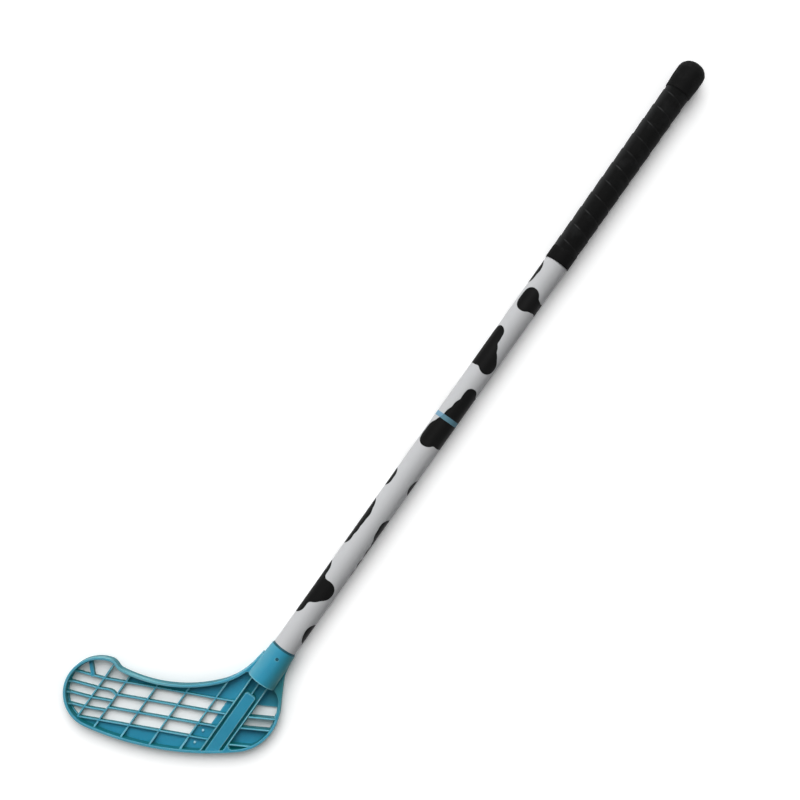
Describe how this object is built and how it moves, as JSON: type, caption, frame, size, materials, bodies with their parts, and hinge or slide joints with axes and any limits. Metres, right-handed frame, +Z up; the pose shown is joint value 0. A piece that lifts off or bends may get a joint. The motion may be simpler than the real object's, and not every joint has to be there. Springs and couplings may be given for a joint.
{
  "type": "floorball stick",
  "caption": "Floorball stick with a ribbed open plastic blade glued and screwed to a straight film-covered tube, a wound hand grip and a domed butt cap.",
  "frame": {"origin": "on the ground under the middle of the whole stick's box, as it lies with the blade's front face down", "axes": "+X along the shaft from the blade to the butt cap, +Y across the shaft towards the blade's tip, +Z up from the blade's flat front face to its ribbed back"},
  "size_m": [0.9404, 0.2104, 0.0315],
  "materials": {
    "blade_plastic": "satin moulded polyethylene, teal blue, fine moulded texture",
    "tube_composite": "fibre composite, ground smooth",
    "printed_film": "white film with black animal spots and one plain blue band, semi-gloss",
    "glue": "hot-melt adhesive, dark and slightly glossy",
    "screw_steel": "dark zinc",
    "cap_rubber": "matte moulded rubber",
    "grip_band": "matte foamed grip band with fine pores",
    "finish_tape": "black vinyl tape, low gloss"
  },
  "bodies": {
    "root": {"blade": "blade_plastic", "shaft_tube": "tube_composite", "print_film": "printed_film", "neck_glue": "glue", "neck_screw": "screw_steel", "butt_cap": "cap_rubber", "grip_wrap": "grip_band", "grip_finish_tape": "finish_tape"}
  },
  "joints": []
}
